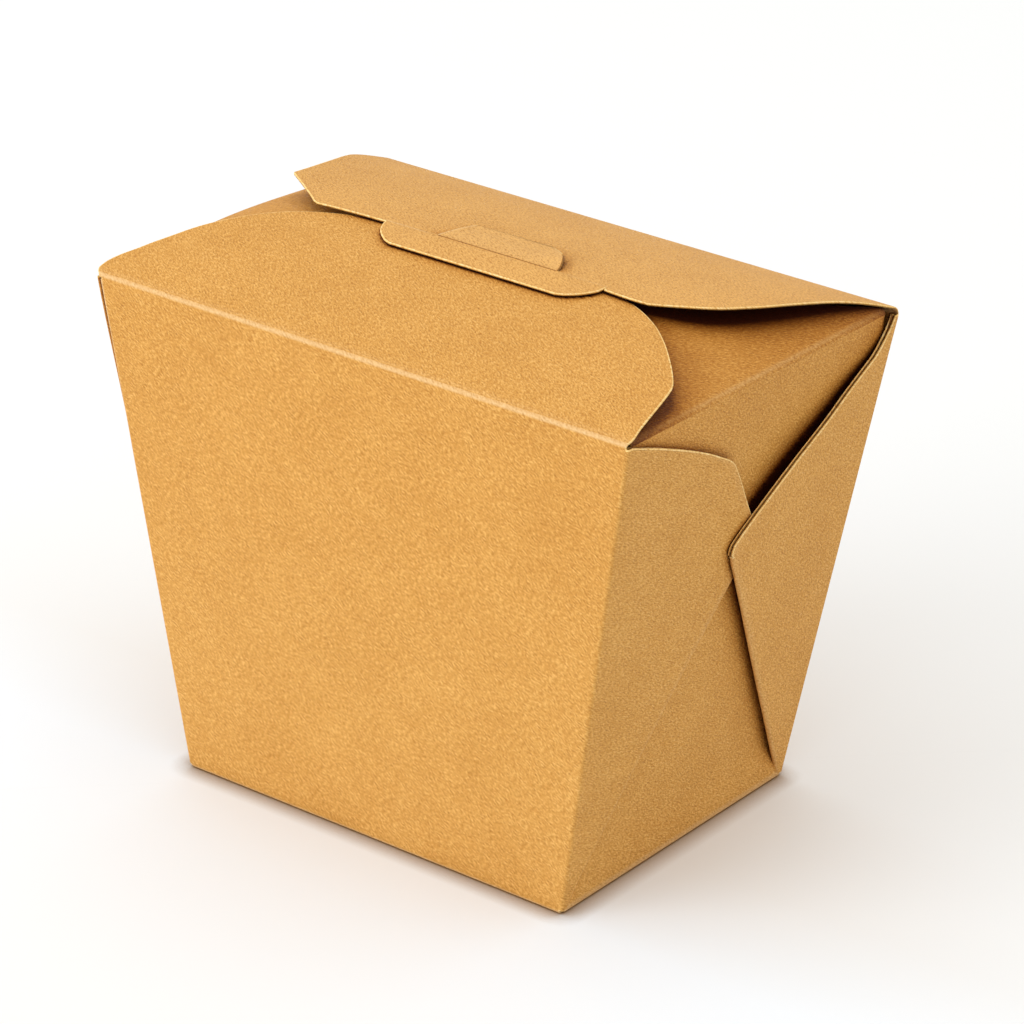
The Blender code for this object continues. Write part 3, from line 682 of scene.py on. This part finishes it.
# ---------------------------------------------------------------- the tongue, up through the slit and over the lid
tongue = {
    # y, x of its left and right sides, from the slit to its free side
    "left": [[(-3.2, -12.6), (1.1, -11.2), (5.4, -9.7)], [(5.4, -9.7), (5.45, -8.5), (5.56, -0.2), (5.66, 5.8), (5.75, 7.2)]],
    "right": [[(-3.2, 15.2), (-2.4, 15.1), (-0.3, 14.3), (1.5, 13.2), (2.9, 12.0), (4.2, 10.4), (5.1, 9.0), (5.75, 7.5)]],
    # y, height above the lid where it comes up through the slit
    "rise": [(-3.2, -1.2), (-3.14, -0.4), (-3.05, 0.02), (-2.85, 0.16), (-2.3, 0.26), (-1.0, 0.38), (1.5, 0.50), (5.75, 0.58)],
    "curl": 0.75,        # extra height at its right end
    "lift": 0.22,        # the same along its left and free sides
}


def tongueSides(y):
    return outlineAt(tongue["left"], y), outlineAt(tongue["right"], y)


def tongueShade(x, y):
    # on the lid beside the tongue: falls off with the distance from the tongue's outline
    level = np.linspace(-3.0, tongue["left"][-1][-1][0], 60)
    left, right = tongueSides(level)
    across = np.linspace(left[-1], right[-1], 12)
    outline = np.concatenate([np.stack([left, level], 1), np.stack([across, np.full(12, level[-1])], 1), np.stack([right, level], 1)])
    away = np.sqrt(((x[..., None] - outline[:, 0]) ** 2 + (y[..., None] - outline[:, 1]) ** 2)).min(axis=2)
    return 0.55 * np.exp(-away / 1.0) * smooth(y, -3.3, -2.0)


def buildTongue(materials):
    y = steps((-3.2, -3.0, 3), (-3.0, -2.4, 6), (-2.4, 5.4, 24), (5.4, 5.75, 12))
    left, right = (s[:, None] for s in tongueSides(y))
    x = left + (right - left) * steps((0.0, 0.1, 6), (0.1, 0.8, 28), (0.8, 1.0, 14))[None, :]
    t = box["shoulderHalf"][1] - y
    lidTop = arch(lid["backRun"], lid["backRise"], lid["backBulge"], t)[:, None]
    above = curveThrough(tongue["rise"], y)[:, None]
    curl = tongue["curl"] * smooth(x, 6.0, 15.0) * smooth(y, -3.0, 1.5)[:, None]
    edge = np.maximum(1 - smooth(x - left, 0.0, 1.6) * (y < 5.4)[:, None], smooth(y, 3.6, 5.4)[:, None])
    curl = np.maximum(curl, tongue["lift"] * edge * smooth(y, -2.6, 4.5)[:, None])
    z = box["shoulder"] + lidTop + above + curl
    grid = np.stack([x, y[:, None] + np.zeros_like(x), z], axis=2)[:, ::-1]
    shown = np.ones((grid.shape[0] - 1, grid.shape[1] - 1), bool)
    # painted shade under its lifted right end, and the pale colour of wear along its left side as a painted highlight;
    # the whole tongue gets the full painted sheen
    shade = 0.85 * (1 - smooth(right - x, 0.0, 0.25)) * smooth(x, 11.0, 13.0)
    crease = 0.8 * (1 - smooth(x - left, 0.0, 0.5)) * (y < 5.4)[:, None]
    marks = {"crease": crease[:, ::-1], "shade": shade[:, ::-1], "pale": np.ones(x.shape)}
    return makeBoard("lidTongue", grid, shown, marks, materials, middle=20)


# ---------------------------------------------------------------- kraft board material
kraft = {
    "base": (0.613, 0.307, 0.069, 1.0),      # the face
    "paintedSheen": (0.710, 0.405, 0.136, 1.0),   # painted sheen: the face where it is painted palest, on the tongue
    "pale": (0.790, 0.450, 0.135, 1.0),      # its pale fibres
    "wearAndHighlight": (0.760, 0.505, 0.245, 1.0),      # where a fold has broken the surface, also used as a painted highlight along folds and edges
    "dark": (0.430, 0.180, 0.030, 1.0),      # its dark fibres and flecks
    "edge": (0.900, 0.610, 0.230, 1.0),      # the cut sides
    "edgePale": (0.960, 0.760, 0.400, 1.0),
    "inside": (0.300, 0.130, 0.030, 1.0),    # the side that faces the food, painted dark so that the gaps between layers stay dark as painted shade
    "insideDark": (0.200, 0.080, 0.018, 1.0),
    "paintedShade": (0.115, 0.062, 0.026, 1.0),   # painted shade: what is left of the colour where layers of board meet
    "paintedShadeReach": 0.0022,                  # how far from a neighbouring layer the painted shade starts
}


def link(tree, source, target):
    tree.links.new(source, target)


def addNode(tree, kind, x, y, **settings):
    node = tree.nodes.new(kind)
    node.location = (x, y)
    for key, value in settings.items():
        setattr(node, key, value)
    return node


def mathNode(tree, operation, x, y, first, second=None, clamp=False):
    node = addNode(tree, "ShaderNodeMath", x, y, operation=operation, use_clamp=clamp)
    for socket, value in zip(node.inputs, (first, second)):
        if value is None:
            continue
        if isinstance(value, (int, float)):
            socket.default_value = value
        else:
            link(tree, value, socket)
    return node.outputs[0]


def noise(tree, vector, scale, detail, roughness, x, y, distortion=0.0):
    node = addNode(tree, "ShaderNodeTexNoise", x, y)
    link(tree, vector, node.inputs["Vector"])
    node.inputs["Scale"].default_value = scale
    node.inputs["Detail"].default_value = detail
    node.inputs["Roughness"].default_value = roughness
    node.inputs["Distortion"].default_value = distortion
    return node.outputs["Fac"]


def stretched(tree, vector, turn, scale, x, y):
    # the flat sheet turned and squeezed, so that a round noise becomes a fibre
    node = addNode(tree, "ShaderNodeMapping", x, y, vector_type="TEXTURE")
    link(tree, vector, node.inputs["Vector"])
    node.inputs["Rotation"].default_value = (0, 0, math.radians(turn))
    node.inputs["Scale"].default_value = (1.0 / scale[0], 1.0 / scale[1], 1.0)
    return node.outputs["Vector"]


def mixColour(tree, factor, first, second, x, y, blend="MIX"):
    node = addNode(tree, "ShaderNodeMix", x, y, data_type="RGBA", blend_type=blend)
    link(tree, factor, node.inputs["Factor"])
    for socket, value in ((node.inputs["A"], first), (node.inputs["B"], second)):
        sockets = [s for s in node.inputs if s.name == socket.name and s.type == "RGBA"]
        if isinstance(value, tuple):
            sockets[0].default_value = value
        else:
            link(tree, value, sockets[0])
    return [s for s in node.outputs if s.type == "RGBA"][0]


def makeKraftGroup():
    # fibres, mottling, flecks and pale folds of kraft board, worked out on the flat sheet; the pale folds are part wear
    # and part painted highlight, and the painted shade is laid on last
    group = bpy.data.node_groups.new("kraftFibreAndPaintedShade", "ShaderNodeTree")
    face = group.interface
    face.new_socket("Sheet", in_out="INPUT", socket_type="NodeSocketVector")
    face.new_socket("Crease", in_out="INPUT", socket_type="NodeSocketFloat")
    face.new_socket("Shade", in_out="INPUT", socket_type="NodeSocketFloat")
    for name in ("Board", "Pale", "Dark"):
        face.new_socket(name, in_out="INPUT", socket_type="NodeSocketColor")
    for name, value in (("Fibre", 1.0), ("Mottle", 1.0), ("Fleck", 1.0)):
        face.new_socket(name, in_out="INPUT", socket_type="NodeSocketFloat").default_value = value
    face.new_socket("Colour", in_out="OUTPUT", socket_type="NodeSocketColor")
    face.new_socket("Roughness", in_out="OUTPUT", socket_type="NodeSocketFloat")
    face.new_socket("Height", in_out="OUTPUT", socket_type="NodeSocketFloat")
    inputs = addNode(group, "NodeGroupInput", -1500, 0)
    outputs = addNode(group, "NodeGroupOutput", 900, 0)
    sheet = inputs.outputs["Sheet"]
    flow = 31.0                                # degrees between the sheet's length and the way most fibres lie

    felt = noise(group, sheet, 2900.0, 2.0, 0.55, -900, 500)
    longFibre = noise(group, stretched(group, sheet, flow, (0.40, 1.15), -1200, 300), 3000.0, 1.0, 0.5, -900, 300, 0.3)
    crossFibre = noise(group, stretched(group, sheet, flow + 24, (0.40, 1.2), -1200, 100), 2300.0, 1.0, 0.5, -900, 100, 0.5)
    cloud = noise(group, sheet, 55.0, 2.0, 0.55, -900, -100)
    blotch = noise(group, stretched(group, sheet, flow, (0.6, 1.2), -1200, -300), 260.0, 2.0, 0.6, -900, -300, 0.3)
    speck = noise(group, stretched(group, sheet, flow - 20, (0.45, 1.2), -1200, -500), 900.0, 1.0, 0.4, -900, -500, 0.6)

    grain = mathNode(group, "ADD", -650, 450, mathNode(group, "MULTIPLY", -700, 500, felt, 0.30),
                     mathNode(group, "ADD", -700, 350, mathNode(group, "MULTIPLY", -720, 300, longFibre, 0.50),
                              mathNode(group, "MULTIPLY", -720, 200, crossFibre, 0.20)))
    grainOut = mathNode(group, "MULTIPLY", -480, 450, mathNode(group, "SUBTRACT", -560, 450, grain, 0.5), inputs.outputs["Fibre"])
    soft = mathNode(group, "ADD", -650, -150, mathNode(group, "MULTIPLY", -700, -100, cloud, 0.5),
                    mathNode(group, "MULTIPLY", -700, -250, blotch, 0.5))
    softOut = mathNode(group, "MULTIPLY", -480, -150, mathNode(group, "SUBTRACT", -560, -150, soft, 0.5), inputs.outputs["Mottle"])
    tone = mathNode(group, "ADD", -300, 200, mathNode(group, "MULTIPLY", -380, 300, grainOut, 3.9),
                    mathNode(group, "MULTIPLY", -380, 100, softOut, 0.65))
    paleMask = mathNode(group, "MULTIPLY", -150, 300, mathNode(group, "MAXIMUM", -220, 300, tone, 0.0), 1.9, clamp=True)
    darkMask = mathNode(group, "MULTIPLY", -150, 100, mathNode(group, "MAXIMUM", -220, 100,
                        mathNode(group, "MULTIPLY", -260, 60, tone, -1.0), 0.0), 1.35, clamp=True)
    first = mixColour(group, paleMask, inputs.outputs["Board"], inputs.outputs["Pale"], 0, 300)
    second = mixColour(group, darkMask, first, inputs.outputs["Dark"], 150, 200)
    fleckMask = mathNode(group, "MULTIPLY", 150, -100, mathNode(group, "MULTIPLY", 50, -100,
                         mathNode(group, "SUBTRACT", -50, -100, speck, 0.70, clamp=True), 3.0, clamp=True), inputs.outputs["Fleck"])
    third = mixColour(group, fleckMask, second, inputs.outputs["Dark"], 300, 100)
    wearAndHighlight = mathNode(group, "MULTIPLY", 300, -200, inputs.outputs["Crease"],
                    mathNode(group, "ADD", 200, -250, mathNode(group, "MULTIPLY", 120, -250, grain, 2.4), -0.42), clamp=True)
    fourth = mixColour(group, wearAndHighlight, third, kraft["wearAndHighlight"], 480, 100)
    # layers close together light each other: colour ^ (1 + 0.9 shade), and only the deepest shade goes dark
    shade = mathNode(group, "MULTIPLY", 480, 0, inputs.outputs["Shade"], 1.0, clamp=True)
    rich = addNode(group, "ShaderNodeGamma", 560, 200)
    link(group, fourth, rich.inputs["Color"])
    link(group, mathNode(group, "ADD", 520, 60, mathNode(group, "MULTIPLY", 500, 60, shade, 0.9), 1.0), rich.inputs["Gamma"])
    deep = mixColour(group, mathNode(group, "POWER", 560, 0, shade, 1.6), rich.outputs["Color"], kraft["paintedShade"], 650, 100,
                     blend="MULTIPLY")
    link(group, deep, outputs.inputs["Colour"])
    rough = mathNode(group, "ADD", 480, -150, mathNode(group, "MULTIPLY", 400, -150, grain, 0.30), 0.50)
    link(group, rough, outputs.inputs["Roughness"])
    height = mathNode(group, "ADD", 480, -350, mathNode(group, "MULTIPLY", 400, -350, grain, 0.8),
                      mathNode(group, "MULTIPLY", 400, -450, blotch, 0.35))
    link(group, height, outputs.inputs["Height"])
    return group


def makeKraft(name, group, colours, fibre=1.0, mottle=1.0, fleck=1.0, bump=1.0, specular=0.16, distance=0.00055, paintedShade=1.2, paintedSheen=False):
    material = bpy.data.materials.new(name)
    material.use_nodes = True
    tree = material.node_tree
    shader = tree.nodes["Principled BSDF"]
    shader.inputs["Specular IOR Level"].default_value = specular
    sheet = addNode(tree, "ShaderNodeUVMap", -900, 100, uv_map="flat")
    mark = addNode(tree, "ShaderNodeAttribute", -900, -100, attribute_name="crease")
    shaded = addNode(tree, "ShaderNodeAttribute", -900, -300, attribute_name="shade")
    node = addNode(tree, "ShaderNodeGroup", -600, 100)
    node.node_tree = group
    link(tree, sheet.outputs["UV"], node.inputs["Sheet"])
    link(tree, mark.outputs["Fac"], node.inputs["Crease"])
    # painted shade from ambient occlusion: close to another layer the board's colour is darkened, but not down at the
    # floor
    near = addNode(tree, "ShaderNodeAmbientOcclusion", -1100, -450, samples=3)
    near.inputs["Distance"].default_value = kraft["paintedShadeReach"]
    closed = mathNode(tree, "SUBTRACT", -900, -450, 1.0, near.outputs["AO"])
    paintedAoShade = mathNode(tree, "MULTIPLY", -750, -450, mathNode(tree, "SUBTRACT", -820, -450, closed, 0.12, clamp=True), paintedShade)
    place = addNode(tree, "ShaderNodeTexCoord", -1100, -650)
    parts = addNode(tree, "ShaderNodeSeparateXYZ", -950, -650)
    link(tree, place.outputs["Object"], parts.inputs["Vector"])
    raised = mathNode(tree, "MULTIPLY", -750, -650, mathNode(tree, "SUBTRACT", -850, -650, parts.outputs["Z"], 0.001), 300.0, clamp=True)
    paintedAoShade = mathNode(tree, "MULTIPLY", -700, -500, paintedAoShade, raised)
    link(tree, mathNode(tree, "MAXIMUM", -650, -350, shaded.outputs["Fac"], paintedAoShade), node.inputs["Shade"])
    for socket, colour in zip(("Board", "Pale", "Dark"), colours):
        node.inputs[socket].default_value = colour
    if paintedSheen:
        # painted sheen: the face's colour moves towards the palest one where the pale attribute is set
        pale = addNode(tree, "ShaderNodeAttribute", -900, 350, attribute_name="pale")
        link(tree, mixColour(tree, pale.outputs["Fac"], colours[0], kraft["paintedSheen"], -750, 350), node.inputs["Board"])
    node.inputs["Fibre"].default_value = fibre
    node.inputs["Mottle"].default_value = mottle
    node.inputs["Fleck"].default_value = fleck
    relief = addNode(tree, "ShaderNodeBump", -300, -200)
    relief.inputs["Strength"].default_value = bump
    relief.inputs["Distance"].default_value = distance
    link(tree, node.outputs["Height"], relief.inputs["Height"])
    link(tree, node.outputs["Colour"], shader.inputs["Base Color"])
    link(tree, node.outputs["Roughness"], shader.inputs["Roughness"])
    link(tree, relief.outputs["Normal"], shader.inputs["Normal"])
    return material


# ---------------------------------------------------------------- floor, light and camera
studio = {
    "focal": 155.23, "azimuth": 36.59, "elevation": 24.63, "roll": 1.72, "distance": 0.83488,
    "aim": 0.05, "right": 0.00361, "up": 0.00455,
    "horizon": 0.745, "zenith": 1.35,         # strength of the sky low down and overhead
    "keyPlace": (-0.78, -1.43, 0.52), "keySize": 1.2, "keyPower": 13.3,
    "floor": (0.815, 0.845, 0.872, 1.0),     # the floor, and the same in front of the box, painted cooler there against the board's warm bounce light
    "floorFront": (0.835, 0.895, 0.965, 1.0),
    # painted contact shadow: what is left of the floor's colour close under the box, and how far that reaches
    "floorShadowTint": (0.40, 0.24, 0.11, 1.0), "floorShadowReach": 0.0045,
}


def makeCamera():
    azimuth, elevation, roll = (math.radians(studio[k]) for k in ("azimuth", "elevation", "roll"))
    back = Vector((math.sin(azimuth) * math.cos(elevation), -math.cos(azimuth) * math.cos(elevation), math.sin(elevation)))
    level = (-back).cross(Vector((0, 0, 1))).normalized()
    above = level.cross(-back)
    right = math.cos(roll) * level + math.sin(roll) * above
    up = -math.sin(roll) * level + math.cos(roll) * above
    lens = bpy.data.cameras.new("camera")
    lens.sensor_width = 36.0
    lens.lens = studio["focal"]
    lens.clip_start, lens.clip_end = 0.01, 50.0
    camera = bpy.data.objects.new("camera", lens)
    bpy.context.scene.collection.objects.link(camera)
    pose = Matrix((right, up, back)).transposed().to_4x4()
    pose.translation = Vector((0, 0, studio["aim"])) + back * studio["distance"] + right * studio["right"] + up * studio["up"]
    camera.matrix_world = pose
    bpy.context.scene.camera = camera


def makeLight(name, place, size, power, colour=(1.0, 1.0, 1.0)):
    lamp = bpy.data.lights.new(name, "AREA")
    lamp.shape = "DISK"
    lamp.size = size
    lamp.energy = power
    lamp.color = colour
    obj = bpy.data.objects.new(name, lamp)
    bpy.context.scene.collection.objects.link(obj)
    obj.location = place
    obj.rotation_euler = (Vector((0, 0, 0.05)) - Vector(place)).to_track_quat("-Z", "Y").to_euler()


def makeStage():
    scene = bpy.context.scene
    scene.view_settings.view_transform = "Standard"
    world = bpy.data.worlds.new("studio")
    scene.world = world
    world.use_nodes = True
    tree = world.node_tree
    tree.nodes["Background"].inputs["Color"].default_value = (1.0, 0.966, 0.918, 1.0)
    # the sky grows brighter from the horizon up: strength = horizon + (zenith - horizon) * height
    direction = addNode(tree, "ShaderNodeTexCoord", -800, 0)
    parts = addNode(tree, "ShaderNodeSeparateXYZ", -600, 0)
    link(tree, direction.outputs["Generated"], parts.inputs["Vector"])
    height = mathNode(tree, "MULTIPLY", -400, 0, parts.outputs["Z"], studio["zenith"] - studio["horizon"], clamp=True)
    link(tree, mathNode(tree, "ADD", -200, 0, height, studio["horizon"]), tree.nodes["Background"].inputs["Strength"])
    reach = 12.0
    mesh = bpy.data.meshes.new("floor")
    mesh.from_pydata([(-reach, -reach, -0.0001), (reach, -reach, -0.0001), (reach, reach, -0.0001), (-reach, reach, -0.0001)],
                     [], [(0, 1, 2, 3)])
    floor = bpy.data.objects.new("floor", mesh)
    scene.collection.objects.link(floor)
    material = bpy.data.materials.new("paleFloor")
    material.use_nodes = True
    tree = material.node_tree
    shader = tree.nodes["Principled BSDF"]
    shader.inputs["Roughness"].default_value = 0.9
    shader.inputs["Specular IOR Level"].default_value = 0.1
    # painted contact shadow: ambient occlusion darkens the floor's colour close under the box
    paintedShade = addNode(tree, "ShaderNodeAmbientOcclusion", -900, -200, samples=4)
    paintedShade.inputs["Distance"].default_value = studio["floorShadowReach"]
    closed = mathNode(tree, "SUBTRACT", -700, -200, 1.0, paintedShade.outputs["AO"])
    deep = mathNode(tree, "MULTIPLY", -500, -200, closed, 1.7, clamp=True)
    # painted against bounce light: in front of the box the floor's colour is a little cooler, to cancel the warm light
    # that the board throws on it
    place = addNode(tree, "ShaderNodeTexCoord", -1300, 200)
    parts = addNode(tree, "ShaderNodeSeparateXYZ", -1150, 200)
    link(tree, place.outputs["Object"], parts.inputs["Vector"])
    rise = mathNode(tree, "MULTIPLY", -1000, 200, mathNode(tree, "ADD", -1080, 200, parts.outputs["Y"], 0.005), -30.0, clamp=True)
    fall = mathNode(tree, "MULTIPLY", -1000, 80, mathNode(tree, "ADD", -1080, 80, parts.outputs["Y"], 0.130), 14.0, clamp=True)
    paintedCoolMask = mathNode(tree, "MULTIPLY", -850, 150, rise, fall)
    floorColour = mixColour(tree, paintedCoolMask, studio["floor"], studio["floorFront"], -650, 150)
    link(tree, mixColour(tree, deep, floorColour, studio["floorShadowTint"], -300, 0, blend="MULTIPLY"), shader.inputs["Base Color"])
    mesh.materials.append(material)
    makeLight("key", studio["keyPlace"], studio["keySize"], studio["keyPower"], (0.98, 1.005, 1.045))


group = makeKraftGroup()
faceKraft = makeKraft("kraftFace", group, (kraft["base"], kraft["pale"], kraft["dark"]), paintedSheen=True)
cutKraft = makeKraft("kraftCutSide", group, (kraft["edge"], kraft["edgePale"], kraft["base"]), mottle=0.4, fleck=0.0, paintedShade=0.3)
darkenedInsideKraft = makeKraft("kraftInsideDarkened", group, (kraft["inside"], kraft["dark"], kraft["insideDark"]))
boardFinishes = [faceKraft, cutKraft, darkenedInsideKraft]
print("kraft materials made")
wrap = buildWrap(boardFinishes)
print("box board folded:", len(wrap.data.polygons), "faces")
buildSide("rightSide", 1, boardFinishes)
buildSide("leftSide", -1, boardFinishes)
print("side panels made")
buildTongue(boardFinishes)
print("tongue made")
makeCamera()
makeStage()
print("studio made")
